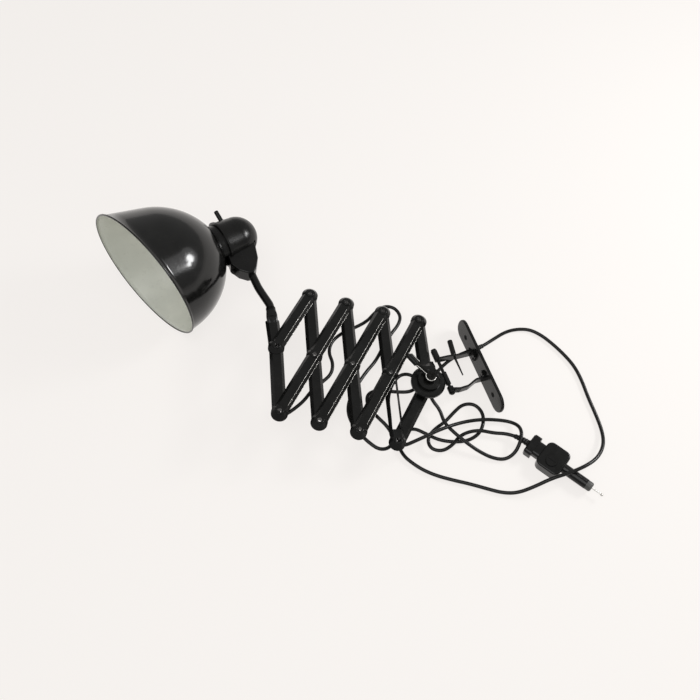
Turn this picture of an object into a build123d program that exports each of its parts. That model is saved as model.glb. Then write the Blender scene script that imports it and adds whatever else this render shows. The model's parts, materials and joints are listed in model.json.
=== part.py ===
from build123d import *
from math import asin, atan2, cos, degrees, pi, radians, sin, sqrt, tan
import os

# An accordion wall lamp lying folded on the floor, in millimetres.
# Lamp frame: origin at the middle of the wall plate's back face, X out of the wall, Y along the plate,
# Z square to the plane that the bars fold in. The row frame is the lamp frame leaned back about Y,
# so that the lamp rests on the plate's edge and on the shade's rim, and +Z there is straight up.

os.makedirs("parts", exist_ok=True)

# ---------------------------------------------------------------- driving dimensions
# how it lies
lean = 11.228                 # lamp frame leaned back about Y

# folding bars
bar_length = 214.0            # between the end pivots of a full bar
half_angle = 15.6             # a bar to the fold's cross axis, as it lies
fold_turn = -30.3             # the fold's long axis from X
hub_reach = 93.2              # hub axis from the wall
hub_side = 7.3                # hub axis along Y
bar_width = 21.0
bar_crown = 12.0              # flat top of a bar
bar_depth = 5.0
boss_radius = 12.25           # round boss at each pivot
sheet = 1.4                   # bar sheet
flank_wall = 1.9              # bar sheet measured level across the sloping flank
layer_gap = 0.6               # between bars that cross
slot_width = 12.6             # long slot in the bar beside the hub
slot_margin = 17.0            # bar left whole beyond each end of that slot

# rivets
rivet_radius = 3.9
rivet_bore = 3.1
rivet_head_radius = 6.25
rivet_head = 1.2
rivet_round = 0.45            # share of the head that is rounded over
running = 0.05                # a shaft in its hole
open_running = 0.25           # the same at the pivots that close the fold's loops
face_gap = 0.1                # between faces that turn on each other
over = 1.0                    # how far a cut runs past the face that it opens
through = 400.0               # a cut longer than any hole

# wall plate
plate_length = 160.0
plate_width = 37.0
plate_thick = 4.0
plate_corner = 17.0
plate_edge = 2.0
screw_inset = 28.5            # screw hole to the plate's end
screw_radius = 2.4
screw_head_radius = 4.6
grommet_y = -31.5
grommet_z = -8.0
grommet_radius = 5.2
grommet_lip = 1.8
grommet_flange = 1.6

# bracket arms, spindle and pin
arm_thick = 3.0
arm_width = 12.0
arm_foot = 13.0               # foot plate of an arm, along Y
foot_inset = 1.0              # its rivets from the middle of its free part
arm_rivet_radius = 2.0
arm_rivet_head = 3.0
arm_rivet_dome = 1.4
arm_rivet_apart = 7.4
spindle_back = 30.7           # hub axis back to the spindle
spindle_radius = 2.5
spindle_head = 4.2
spindle_head_thick = 2.4
eye_radius = 5.0
upper_eye = (-41.5, -24.5)    # along Y
lower_eye = (22.0, 32.0)
upper_arm_y = -23.5           # where each arm leaves the plate
lower_arm_y = 22.6
upper_arm_bow = [(-34.5, -23.5), (-16.5, -25.4), (0, -26.0)]  # X from the spindle, and Y
lower_arm_bow = [(-42.5, 22.6), (-26.5, 29.6), (-12.5, 30.2), (0, 27.0)]
upper_arm_bends = [30.0, 30.0]
lower_arm_bends = [12.0, 12.0, 9.0]
pin_back = 27.5               # spindle back to the drop pin
pin_radius = 2.0
pin_tip_radius = 1.0
pin_tip_y = 8.4
pin_grip_radius = 4.0
pin_grip_length = 27.0
pin_grip_lean = 8.5
pin_grip_gap = 1.2
pin_grip_edge = 1.5
clip_thick = 1.5
clip_radius = 3.8

# hub
hub_bolt_radius = 4.0
hub_bolt_head = 6.6
hub_bolt_head_thick = 4.0
bolt_recess = 0.6             # bolt's end below the lever's eye
carrier_radius = 14.0
carrier_thick = 4.2
carrier_neck = 13.0
carrier_drop = 0.5            # its middle below the lamp plane
lug_radius = 4.2
lug_length = 20.0
sleeve_radius = 9.0
cup_radius = 26.0
cup_floor = 2.0               # height of the cup's rim over the lamp plane
cup_shoulder = 8.0
cup_crown_radius = 17.5
cup_top = 15.6
cup_wall = 1.5
cup_soft = 2.6                # the cup's rounded edges, as flats
cup_taper = 0.8
tab_width = 26.0
tab_thick = 1.5
tab_gap = 0.4                 # tab to the cup's crown
tab_overhang = 1.4            # cup's rim to where the tab lies flat
joggle_length = 34.0          # channel's end to the hub axis
joggle_lap = 2.0
joggle_slip = 0.8
washer_radius = 9.2
washer_thick = 1.6
spring_radius = 7.8
spring_thick = 2.4
lever_eye_radius = 8.0
lever_thick = 3.2
lever_turn = -63.5
lever_reach = 26.5
lever_arm_width = 4.6
knob_turn = -69.0
knob_radius = 4.3
knob_length = 19.0
knob_edge = 1.3
knob_gap = 1.2                # lever's end to the knob
stub_radius = 1.5
stub_lap = 3.0
guard_gap = 0.5
guard_thick = 1.6
guard_link = 2.2

# neck
socket_reach = 64.0           # outer middle pivot to the neck socket's mouth
socket_turn = -100.1          # the head bar's outer end, from X
socket_length_out = 16.0      # round socket at that end
socket_bite = 6.0             # where it starts inside the channel
socket_root = (14.5, 4.4, 1.2)    # width, depth and corner there
socket_waist = (16.5, 11.0, 3.0)
socket_waist_at = 0.75
socket_depth = 12.1           # hole for the neck
neck_radius = 6.2
neck_bore = 4.0
neck_seat = 11.5              # neck inside the socket
neck_straight = 10.5          # straight out of the socket before the neck bends
neck_offsets = [(6.3, -45.2), (9.9, -85.2)]  # the neck's bends from the socket's mouth
neck_bends = [26.0, 90.0]
collar_radius = 7.4
collar_length = 5.0

# knuckle, on the pin that the head tilts on
knuckle_offset = (13.8, -121.2)  # from the socket's mouth
knuckle_radius = 24.0
knuckle_width = 24.0
knuckle_gap = 0.5
knuckle_outline = [(-20.9, 27.0), (-13.0, 45.0), (-7.0, 52.5), (2.0, 52.5), (14.0, 44.5), (23.5, 30.0)]
pivot_radius = 3.0
cheek_thick = 3.0
cheek_radius = 9.0
cheek_length = 26.0
pin_recess = 0.8              # the pin short of the cheeks, both ends together
slot_turns = (-24, -10, 4, 18)  # cuts that make the cap's slot, round the knuckle's pin
knuckle_edge = 2.4
knuckle_bore = 40.1           # neck's hole, from the neck's end
friction_screw = (18.0, 35.0, 40.0)  # from the knuckle's pin, and the way it points
friction_head = 4.0
friction_shank = 2.4
friction_depth = 5.5          # half the screw's length
friction_seat = 3.2
friction_head_thick = 2.6

# head, along the lampholder's axis from the middle of the cap's round end
head_turn = 15.5              # way the lampholder points, from X
cap_offset = (-0.7, -24.4)    # from the knuckle's pin
cap_radius = 33.5
cap_foot_radius = 35.8
cap_wall = 1.6
cap_length = 26.0
skirt_radius = 37.3
skirt_length = 2.4
skirt_lap = 0.6
neck_plane = 35.7             # to the start of the shade's own frame
neck_ring_radius = 33.5
shade_wall = 1.0
shade_seat = 3.3              # flat of the shade round the lampholder
knee_room = 40.0              # how deep the hole's cut runs, short of the rim
dome_radius = 115.0
dome_centre = 106.9
dome_centre_drop = 14.9       # the dome arc's centre beyond the lampholder's axis
flare = 11.5
rim_centre = 123.5
rim_offset = -4.3
rim_tilt = 12.4
rim_roll = -24.0
rim_bead = 1.4
rim_bead_width = 3.0
rim_margin = 40.0             # flare drawn past the rim, before the cut
shade_ring_radius = 26.0
shade_ring_length = 5.0
socket_start = 33.0
socket_radius = 20.0
socket_wall = 2.5
socket_length = 27.0
socket_floor = 3.0
socket_contact_radius = 8.0
contact_height = 2.0
bulb_reach = 86.0
bulb_radius = 30.0
bulb_cap_radius = 13.2
bulb_cap_length = 22.0
bulb_cap_wall = 0.6
bulb_shoulder = 62.0

# switch
switch_turn = -16.0           # round the cap, from the lamp plane
switch_station = 7.0
switch_peg_radius = 3.6
switch_peg_length = 20.0
switch_peg_in = 4.0
switch_peg_round = 1.6
switch_bush_radius = 6.6
switch_bush_in = 2.4
switch_bush_out = 0.6
switch_swing_gap = 0.8
switch_pivot_radius = 1.2
switch_pivot_length = 8.2
switch_pivot_depth = 0.9      # below the cap's skin

# cords; the first two routes are in the row frame, the others in the lamp frame
cord_radius = 2.7
bend_share = 0.45             # of the shorter run, that a bend's start may take
joint_run = 1.8               # how far the hub's flex overlaps the way of the arm's
# out of the plate's back, round on the floor and back, to the plug
mains_points = [(-14, -33, -11.5), (-38, -40, -14.5), (-62, -46, -15.1),
                (-82, -44, -15.1), (-100, -36, -15.1), (-112, -21, -15.1), (-121, -3, -15.1),
                (-130, 21, -15.1), (-136, 45, -15.1), (-136, 70, -15.1), (-132, 100, -15.1),
                (-130, 132, -15.1), (-126, 158, -13.9), (-116, 178, -8), (-98, 193, -1.5),
                (-76, 200, 4.4), (-48, 202, 6.2), (-20, 200.5, 5.8), (6, 201, -3.5), (29, 199, -12.5),
                (48, 191, -15.1), (66, 178, -15.1), (86, 163, -15.1), (107, 149, -15.1),
                (125, 136, -15.1), (140, 122, -15.1), (152, 106, -15.1), (161, 89, -15.1),
                (162, 70, -15.1), (150, 54, -15.1), (131, 54, -15.1), (118, 68, -15.1),
                (104, 84, -15.1), (85, 95, -15.1), (64, 101, -15.1), (44, 97, -15.1), (31, 84, -15.1),
                (25, 67, -15.1), (31, 50, -15.1), (48, 44, -15.1), (66, 52, -15.1), (84, 62, -13.9),
                (103, 68, -10.4), (119, 78, -9.2), (121, 95, -9.2), (106, 105, -9.2), (88, 101, -8.9),
                (74, 92, -8.9), (58, 90, -8.9), (41, 94, -8.9), (24, 104, -11.6), (7, 112, -9.6),
                (-8.8, 126.1, -8.1), (-15.97, 137.95, -8.1)]
# out of the plate's front, under the bracket and the hub, a loop, and up to the first outer pivot
hub_points = [(92, 16, 4.5), (91.8, 30, 3.1), (86, 46, -1.5), (88, 66, -2.7), (80, 86, -2.7),
              (70, 105, -3.3), (57, 122, -9.8), (41, 138, -14.5), (24, 147, -14.5), (8, 144, -8),
              (-4, 133, -1.6), (-12, 121, -1.6), (-15, 107, -9.5), (-7, 95, -14.6), (9, 87, -12.2),
              (32, 79, -8.6), (60, 74, -5.7), (96, 77, 6.4)]
# under the bars, to the pivot of the bar that carries the head
arm_points = [(150, 86, -11.4), (162, 87.7, -11.4), (172, 79, -11.4), (173, 65, -11.4), (167, 49, -11.4),
              (162, 31.6, -11.4), (156, 9.6, -11.4), (142, -10.4, -11.4), (123, -23.4, -11.4),
              (106, -18.4, -11.4),
              (101, -1.4, -11.4), (116, 9.6, -11.4), (139, 0.6, -17.2), (163, -10.4, -17.2),
              (184, -5.4, -11.4), (190, 13.6, -11.4), (182, 33.6, -11.4), (173, 51.6, -11.4),
              (170, 69.6, -11.4), (180, 84.6, -11.4), (197, 83.6, -11.4), (208, 68.6, -11.4),
              (216.5, 50.1, -11.4), (222, 30.6, -11.4), (220, 9.6, -11.4), (206, -11.4, -11.4),
              (189, -26.4, -11.4), (171, -41.4, -11.4), (151, -54.4, -11.4), (129, -77.4, -11.4),
              (111, -93.4, -11.4), (93, -106.4, -11.4), (84, -120.4, -11.4), (88, -137.4, -11.4),
              (104, -144.4, -11.4), (122, -136.4, -11.4), (139, -124.4, -11.4), (161, -118.4, -11.4),
              (185, -114.4, -11.4), (206, -103.4, -11.4), (216, -86.4, -11.4), (215, -67.4, -11.4),
              (224, -50.4, -11.4), (242, -41.4, -11.4), (261, -32.4, -11.4), (277, -19.4, -11.4),
              (295, -11.4, -13.5), (306.5, -8.5, -16.3), (314, -6.8, -14.4), (318, -6, -10.7)]
# in the head bar's channel: share of the half bar, side and height, then past the elbow in millimetres
channel_points = [(0.033, 0.8, -6.7), (0.086, 0.9, -4.1), (0.227, 0.6, -3.4), (0.45, 0.1, -3.5),
                  (0.7, 0.4, -3.4), (0.943, 0.2, -3.5)]
elbow_points = [(19.4, 0.5, -3.4), (37.6, 1.1, -3.4)]
# under the bracket, X and Z in the lamp frame
bracket_points = [(24.0, -8.0), (44.0, -9.4), (62.0, -13.0), (80.0, -14.2)]
bracket_drift = 38.0          # how far the flex crosses under the bracket, along Y

# plug, lying on the floor behind the bracket
plug_turn = 121.1             # way it points, from X in the row frame
plug_x = -16.0
plug_y = 138.0
collar_size = (12.0, 33.0, 20.0)
waist_size = (10.0, 24.0, 16.0)
block_size = (38.0, 42.0, 20.0)
block_corner = 9.0
dial_radius = 8.5
dial_side = 5.0               # off the block's middle
dial_depth = 1.6
dial_gap = 0.3
dial_groove = 1.4
plug_bite = 4.0               # the barrel in the block
body_corner = 5.0
block_edge = 2.4
collar_edge = 2.0
barrel_radius = 7.5
barrel_end = 98.0
barrel_nose = 9.0
nose_radius = 7.1
nose_round = 3.0
tip_radius = 1.0
tip_length = 16.0
tip_ball = 2.2

# ---------------------------------------------------------------- derived places
pitch = bar_length * sin(radians(half_angle))
half_width = bar_length * cos(radians(half_angle)) / 2
layer_step = bar_depth + layer_gap
middle_top = bar_depth / 2
upper_top = middle_top + layer_step
lower_top = middle_top - layer_step
hub = Vector(hub_reach, hub_side, 0)
spindle_x = hub_reach - spindle_back
pin_x = spindle_x - pin_back
along = Vector(cos(radians(fold_turn)), sin(radians(fold_turn)), 0)
across = Vector(-sin(radians(fold_turn)), cos(radians(fold_turn)), 0)
lie = Location((0, 0, 0), (0, -lean, 0))
floor = -plate_width / 2 * cos(radians(lean))


def mid(cell):
    return hub + along * (pitch * cell)


def left(cell):
    return hub + along * (pitch * (cell + 0.5)) + across * half_width


def right(cell):
    return hub + along * (pitch * (cell + 0.5)) - across * half_width


socket_way = Vector(cos(radians(socket_turn)), sin(radians(socket_turn)), 0)
mouth = mid(4) + socket_way * socket_reach
neck_points = [mouth + Vector(x, y, 0) for x, y in neck_offsets]
knuckle = mouth + Vector(*knuckle_offset, 0)
cap = knuckle + Vector(*cap_offset, 0)
upper_arm_points = [(plate_thick, upper_arm_y)] + [(spindle_x + x, y) for x, y in upper_arm_bow]
lower_arm_points = [(plate_thick, lower_arm_y)] + [(spindle_x + x, y) for x, y in lower_arm_bow]


# ---------------------------------------------------------------- helpers
def save(name, shape, place=lie):
    """Write one node in the row frame."""
    shape = place * shape
    export_step(shape, f"parts/{name}.step")


def post(radius, bottom, top, at=Vector(0, 0, 0)):
    """A cylinder along Z between two heights."""
    middle = (bottom + top) / 2
    return Pos(at.X, at.Y, middle) * Cylinder(radius, top - bottom)


def ring(outer, inner, bottom, top, at=Vector(0, 0, 0)):
    return post(outer, bottom, top, at) - post(inner, bottom - over, top + over, at)


def rod_y(radius, start, end, x, z=0.0):
    """A cylinder along Y."""
    length = end - start
    return Pos(x, (start + end) / 2, z) * Rot(90, 0, 0) * Cylinder(radius, length)


def rod_x(radius, start, end, y, z=0.0):
    """A cylinder along X."""
    return Pos((start + end) / 2, y, z) * Rot(0, 90, 0) * Cylinder(radius, end - start)


def toward(start, end, height=0.0):
    """Stand at start with X toward end."""
    turn = degrees(atan2(end.Y - start.Y, end.X - start.X))
    return Location((start.X, start.Y, height), (0, 0, turn))


# ---------------------------------------------------------------- bars
def bar_form(stations, start, end, inset, top):
    """A trapezoid run with a cone at each pivot, its crown at height top."""
    rise = bar_depth + top
    spread = (bar_width - bar_crown) / 2
    slope = spread / bar_depth
    foot = bar_width / 2 - inset
    crown = foot - slope * rise
    corners = [(-foot, -bar_depth), (foot, -bar_depth), (crown, top), (-crown, top)]
    section = Plane.YZ * Polygon(*corners, align=None)
    form = Pos(start, 0, 0) * extrude(section, end - start)
    cone_foot = boss_radius - inset
    cone = Cone(cone_foot, cone_foot - slope * rise, rise)
    for station in stations:
        form += Pos(station, 0, (top - bar_depth) / 2) * cone
    return form


def pressed_bar(stations, holes):
    """A tray-section bar along X with its crown at Z = 0."""
    start = stations[0]
    end = stations[-1]
    outside = bar_form(stations, start, end, 0, 0)
    inside = bar_form(stations, start, end, flank_wall - sheet, -sheet)
    bar = outside - inside
    for station, radius in zip(stations, holes):
        bar -= Pos(station, 0, 0) * Cylinder(radius, 3 * bar_depth)
    return bar


def rivet(at, upper, lower):
    """A tubular rivet through an upper and a lower web, both given by their crowns."""
    foot = lower - sheet - face_gap
    body = post(rivet_radius, foot - rivet_head, upper + rivet_head, at)
    body += post(rivet_head_radius, upper, upper + rivet_head, at)
    body += post(rivet_head_radius, foot - rivet_head, foot, at)
    body -= post(rivet_bore, foot - through, upper + through, at)
    rolled = body.edges().filter_by(GeomType.CIRCLE).group_by(Axis.Z)[-1]
    return fillet(rolled, rivet_round * rivet_head)


def spacer(at, upper, lower):
    return ring(rivet_head_radius, rivet_radius + running, lower + face_gap, upper - sheet, at)


def save_pins(name, pins):
    """The rivets and the spacers of an upper bar."""
    rivets = [rivet(pin, upper_top, middle_top) for pin in pins]
    spacers = [spacer(pin, upper_top, middle_top) for pin in pins]
    save(f"{name}_rivets", Compound(children=rivets))
    save(f"{name}_spacers", Compound(children=spacers))


tight = rivet_radius + running
loose = rivet_radius + open_running


def make_bars():
    half = bar_length / 2
    for cell in (1, 2, 3):
        place = toward(left(cell), right(cell - 1), upper_top)
        save(f"upper_bar_{cell}", place * pressed_bar([0, half, bar_length], [tight] * 3))
        pins = [left(cell), mid(cell), right(cell - 1)]
        save_pins(f"upper_bar_{cell}", pins)
    for cell in (1, 2, 3):
        place = toward(right(cell), left(cell - 1), middle_top)
        bar = pressed_bar([0, half, bar_length], [loose, tight, tight])
        if cell == 1:
            slot = bar_length - half - 2 * slot_margin
            bar -= Pos((half + bar_length) / 2, 0, 0) * Box(slot, slot_width, 3 * bar_depth)
        save(f"lower_bar_{cell}", place * bar)
    save("hub_pivot_rivet", rivet(left(0), middle_top, lower_top))
    save("hub_pivot_spacer", spacer(left(0), middle_top, lower_top))

    # outer end: a half bar over the bar that carries the head
    place = toward(mid(4), right(3), upper_top)
    save("end_link", place * pressed_bar([0, half], [tight] * 2))
    pins = [mid(4), right(3)]
    save_pins("end_link", pins)

    # wall end: the lower half bar under the hub
    place = toward(left(0), hub, lower_top)
    save("hub_link_lower", place * pressed_bar([0, half], [tight, hub_bolt_radius + running]))


# ---------------------------------------------------------------- hub
stack_cup = cup_top
stack_washer = stack_cup + face_gap
stack_spring = stack_washer + washer_thick
stack_lever = stack_spring + spring_thick
stack_nut = stack_lever + lever_thick


def cup_section(shrink):
    """Half section of the cup in XZ, inside surface when shrink is the wall."""
    r_rim = cup_radius - shrink
    r_crown = cup_crown_radius - shrink
    shoulder = cup_shoulder - shrink
    top = cup_top - shrink
    soft = cup_soft - shrink * cup_taper
    low = cup_floor - over if shrink else cup_floor
    r_top = r_crown - cup_taper
    return [(0, low), (r_rim, low), (r_rim, shoulder - soft), (r_rim - soft, shoulder), (r_crown, shoulder),
            (r_top, top - soft), (r_top - soft, top), (0, top)]


def turned(points):
    """A solid of revolution about Z from a half section."""
    outline = Plane.XZ * Polygon(*points, align=None)
    return revolve(outline, Axis.Z)


def make_hub():
    stand = Pos(hub.X, hub.Y, 0)
    bolt_hole = Cylinder(hub_bolt_radius + running, through)
    cup = turned(cup_section(0)) - turned(cup_section(cup_wall)) - bolt_hole
    save("hub_cup", stand * cup)

    # upper half bar: channel, joggle and tab on the cup's shoulder
    half = bar_length / 2
    channel_end = half - joggle_length
    link = bar_form([0], 0, channel_end, 0, 0)
    link -= bar_form([0], 0, channel_end + over, flank_wall - sheet, -sheet)
    link -= Cylinder(loose, 3 * bar_depth)
    lap = cup_shoulder - middle_top
    tab_start = half - cup_radius + tab_overhang
    tab_end = half - cup_crown_radius + over
    bend = channel_end - joggle_lap
    side = Plane.XZ * Polygon((bend, 0), (channel_end, 0), (tab_start, lap + tab_thick),
                              (tab_end, lap + tab_thick), (tab_end, lap), (tab_start + joggle_slip, lap),
                              (channel_end + joggle_slip, -sheet), (bend, -sheet), align=None)
    joggle = extrude(side, tab_width / 2, both=True)
    joggle -= Pos(half, 0, 0) * Cylinder(cup_crown_radius + tab_gap, through)
    link += joggle
    place = toward(right(0), hub, middle_top)
    save("hub_link_upper", place * link)

    # carrier inside the cup, its lug on the spindle
    base = -carrier_thick / 2 - carrier_drop
    plate = post(carrier_radius, base, base + carrier_thick, hub)
    neck = Pos((spindle_x + hub.X) / 2, hub.Y, base + carrier_thick / 2)
    plate += neck * Box(hub.X - spindle_x, carrier_neck, carrier_thick)
    plate += post(sleeve_radius, base, cup_top - cup_wall - face_gap, hub)
    lug_start = hub.Y - lug_length / 2
    plate += rod_y(lug_radius, lug_start, lug_start + lug_length, spindle_x)
    plate -= rod_y(spindle_radius + running, -through, through, spindle_x)
    bore = hub_bolt_radius + running
    plate -= post(bore, -through, through, hub)
    save("hub_carrier", plate)

    # bolt, washers and clamp
    foot = lower_top - sheet - face_gap
    bolt = post(hub_bolt_radius, foot - over, stack_nut - bolt_recess, hub)
    hexagon = extrude_hex(hub_bolt_head, hub_bolt_head_thick)
    bolt += stand * Pos(0, 0, foot - hub_bolt_head_thick / 2) * hexagon
    save("hub_bolt", bolt)
    save("friction_washer", ring(washer_radius, bore, stack_washer, stack_washer + washer_thick, hub))
    save("spring_washer", ring(spring_radius, bore, stack_spring, stack_spring + spring_thick, hub))

    lever_dir = Vector(cos(radians(lever_turn)), sin(radians(lever_turn)), 0)
    knob_dir = Vector(cos(radians(knob_turn)), sin(radians(knob_turn)), 0)
    eye = ring(lever_eye_radius, bore, stack_lever, stack_nut, hub)
    end = hub + lever_dir * lever_reach
    arm = toward(hub, end, stack_lever + lever_thick / 2)
    arm_start = (bore + lever_eye_radius) / 2
    strip_form = Box(lever_reach - arm_start, lever_arm_width, lever_thick)
    lever = eye + arm * Pos((arm_start + lever_reach) / 2, 0, 0) * strip_form
    stub = toward(end, end + knob_dir, stack_lever + lever_thick / 2)
    lever += stub * rod_x(stub_radius, -stub_lap, knob_length - 2 * stub_lap, 0)
    guard_side = -knob_radius - guard_gap - guard_thick / 2
    guard = stub * Pos(knob_length / 2, guard_side, 0) * Box(knob_length, guard_thick, lever_thick)
    link = stub * Pos(knob_gap - guard_link, guard_side / 2, 0)
    link = link * Box(guard_link, -guard_side + guard_thick, lever_thick)
    save("clamp_lever", lever + guard + link)
    grip = Rot(0, 90, 0) * Cylinder(knob_radius, knob_length)
    grip = fillet(grip.edges(), knob_edge)
    grip = Pos(knob_gap + knob_length / 2, 0, 0) * grip
    grip -= rod_x(stub_radius + running, -knob_length, knob_length - stub_lap, 0)
    save("lever_knob", stub * grip)


def extrude_hex(radius, thick):
    return Pos(0, 0, -thick / 2) * extrude(RegularPolygon(radius, 6, major_radius=False), thick)


# ---------------------------------------------------------------- bracket
def strip(points, radii):
    """A flat strip of the arm's width that follows points in the lamp plane."""
    path = FilletPolyline(*[(x, y, 0) for x, y in points], radius=radii)
    start = path @ 0
    ahead = path % 0
    face = Plane(origin=start, x_dir=(0, 0, 1), z_dir=ahead) * Rectangle(arm_width, arm_thick)
    return sweep(face, path=path)


def bracket_arm(points, bends, eye, foot_side):
    """A strip from the plate to its eye, with a foot plate on the side of foot_side."""
    arm = strip(points, bends)
    foot = foot_side * (arm_foot - arm_thick) / 2
    pad = Box(arm_thick, arm_foot, arm_width)
    arm += Pos(plate_thick + arm_thick / 2, points[0][1] + foot, 0) * pad
    arm += rod_y(eye_radius, eye[0], eye[1], spindle_x)
    return arm - rod_y(spindle_radius + running, eye[0] - over, eye[1] + over, spindle_x)


def make_bracket():
    plate = extrude(Plane.YZ * RectangleRounded(plate_length, plate_width, plate_corner), plate_thick)
    front = plate.faces().sort_by(Axis.X)[-1]
    plate = fillet(front.edges(), plate_edge)
    for side in (-1, 1):
        y = side * (plate_length / 2 - screw_inset)
        plate -= rod_x(screw_radius, -over, plate_thick + over, y)
        sink = screw_head_radius - screw_radius
        countersink = Cone(screw_radius, screw_head_radius, sink)
        plate -= Pos(plate_thick - sink / 2, y, 0) * Rot(0, 90, 0) * countersink
    neck = grommet_radius - grommet_lip
    plate -= rod_x(neck + running, -over, plate_thick + over, grommet_y, grommet_z)

    foot_reach = (arm_foot + arm_thick) / 2 - foot_inset
    rivet_ys = [upper_arm_points[0][1] + foot_reach, lower_arm_points[0][1] - foot_reach]
    places = [(y, z) for y in rivet_ys for z in (-arm_rivet_apart / 2, arm_rivet_apart / 2)]
    uppers = bracket_arm(upper_arm_points, upper_arm_bends, upper_eye, 1)
    lowers = bracket_arm(lower_arm_points, lower_arm_bends, lower_eye, -1)
    for y, z in places:
        hole = rod_x(arm_rivet_radius + running, -through, through, y, z)
        plate -= hole
        uppers -= hole
        lowers -= hole
    uppers -= rod_y(pin_radius + running, -through, 0, pin_x)
    save("wall_plate", plate)
    save("upper_arm", uppers)
    save("lower_arm", lowers)
    top = plate_thick + arm_thick
    studs = []
    for y, z in places:
        stud = rod_x(arm_rivet_radius, 0, top + arm_rivet_dome, y, z)
        studs.append(stud + rod_x(arm_rivet_head, top + running, top + arm_rivet_dome, y, z))
    save("arm_rivets", Compound(children=studs))

    spindle = rod_y(spindle_radius, upper_eye[0] - over, lower_eye[1] + spindle_head_thick, spindle_x)
    head_end = upper_eye[0] - face_gap
    spindle += rod_y(spindle_head, head_end - spindle_head_thick, head_end, spindle_x)
    save("spindle", spindle)
    clip = rod_y(clip_radius, lower_eye[1] + face_gap, lower_eye[1] + clip_thick, spindle_x)
    save("spindle_clip", clip - rod_y(spindle_radius + running, 0, through, spindle_x))

    grip_y = upper_arm_points[1][1] - arm_thick / 2 - pin_grip_gap
    rod_length = pin_tip_y - grip_y
    rod = Pos(pin_x, (pin_tip_y + grip_y) / 2, 0) * Rot(-90, 0, 0)
    rod = rod * Cone(pin_radius, pin_tip_radius, rod_length)
    lean_at = Pos(pin_x, grip_y, 0) * Rot(0, 0, -pin_grip_lean)
    grip = lean_at * Pos(0, -pin_grip_length / 2, 0) * Rot(90, 0, 0)
    grip = grip * fillet(Cylinder(pin_grip_radius, pin_grip_length).edges(), pin_grip_edge)
    save("drop_pin", rod + grip)

    bush = rod_x(grommet_radius, plate_thick, plate_thick + grommet_flange, grommet_y, grommet_z)
    bush += rod_x(neck, 0, plate_thick + grommet_flange, grommet_y, grommet_z)
    bush -= rod_x(cord_radius, -through, through, grommet_y, grommet_z)
    save("plate_grommet", bush)


# ---------------------------------------------------------------- head bar and neck
def make_neck():
    half = bar_length / 2
    elbow = mid(4)
    lower = bar_form([0, half], 0, half, 0, 0)
    lower -= bar_form([0, half], 0, half, flank_wall - sheet, -sheet)
    lower = toward(left(3), elbow, middle_top) * lower
    upper_run = toward(elbow, mouth, middle_top)
    run_end = socket_reach - socket_length_out
    channel = bar_form([], 0, run_end + over, flank_wall - sheet, -sheet)
    shell = bar_form([], 0, run_end, 0, 0) - channel
    upper = upper_run * (shell - Cylinder(boss_radius - flank_wall, 3 * bar_depth))
    lower -= upper_run * channel
    block = Plane(origin=(run_end - socket_bite, 0, -bar_depth / 2), x_dir=(0, 1, 0), z_dir=(1, 0, 0))
    face = block * RectangleRounded(*socket_root)
    round_end = block.offset(socket_length_out + socket_bite) * Circle(collar_radius)
    middle = block.offset(socket_length_out * socket_waist_at) * RectangleRounded(*socket_waist)
    socket = loft([face, middle, round_end])
    body = lower + upper + upper_run * socket
    for station in (left(3), elbow):
        body -= Pos(station.X, station.Y, 0) * Cylinder(tight, 3 * bar_depth)
    bore = rod_x(neck_radius + running, socket_reach - socket_depth, socket_reach + over, 0)
    body -= toward(elbow, mouth, 0) * bore
    save("head_bar", body)

    start = mouth - socket_way * neck_seat
    bend = mouth + socket_way * neck_straight
    path = FilletPolyline(start, bend, *neck_points, radius=neck_bends)
    face = Plane(origin=path @ 0, z_dir=path % 0)
    tube = sweep(face * Circle(neck_radius), path=path) - sweep(face * Circle(neck_bore), path=path)
    save("neck_tube", tube)
    nut = toward(mouth, bend, 0) * Pos(collar_length / 2 + face_gap, 0, 0) * Rot(0, 90, 0)
    nut = nut * (Cylinder(collar_radius, collar_length) - Cylinder(neck_radius + running, through))
    save("neck_collar", nut)


# ---------------------------------------------------------------- knuckle and head
head = Location((cap.X, cap.Y, 0), (0, 0, head_turn))


def head_axis(shape):
    """Turn a shape made along Z so that it points along the lampholder's axis."""
    return head * (Rot(0, 90, 0) * shape)


def shade_form(shrink):
    """The shade's solid form, smaller by shrink, along X from its neck."""
    radius = dome_radius - shrink
    start = shade_seat + shrink
    neck_r = -dome_centre_drop + sqrt(radius ** 2 - (dome_centre - start) ** 2)
    turn = radians(flare)
    knee = Vector(dome_centre - radius * sin(turn), -dome_centre_drop + radius * cos(turn))
    middle_angle = (asin((dome_centre - start) / radius) + radians(flare)) / 2
    crown = Vector(dome_centre - radius * sin(middle_angle), -dome_centre_drop + radius * cos(middle_angle))
    end = rim_centre + rim_margin
    end_r = knee.Y + (end - knee.X) * tan(radians(flare))
    lines = [Line((start, 0), (start, neck_r)), ThreePointArc((start, neck_r), crown, knee),
             Line(knee, (end, end_r)), Line((end, end_r), (end, 0)), Line((end, 0), (start, 0))]
    return revolve(make_face(lines), Axis.X)


def make_shade():
    roll = radians(rim_roll)
    tilt = radians(rim_tilt)
    normal = Vector(cos(tilt), sin(tilt) * cos(roll), sin(tilt) * sin(roll))
    middle = Vector(rim_centre, rim_offset * cos(roll), rim_offset * sin(roll))
    rim = Plane(origin=middle, z_dir=normal)
    beyond = rim * Pos(0, 0, through / 2) * Box(through, through, through)
    band = rim * Pos(0, 0, -rim_bead_width / 2) * Box(through, through, rim_bead_width)
    outside = shade_form(0)
    inside = shade_form(shade_wall)
    shell = outside - inside - beyond
    bead = (shade_form(-rim_bead) - inside) & band
    shell += bead
    shell -= rod_x(socket_radius + running, -through, knee_room, 0)
    save("shade", head * Pos(neck_plane, 0, 0) * shell)


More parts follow.
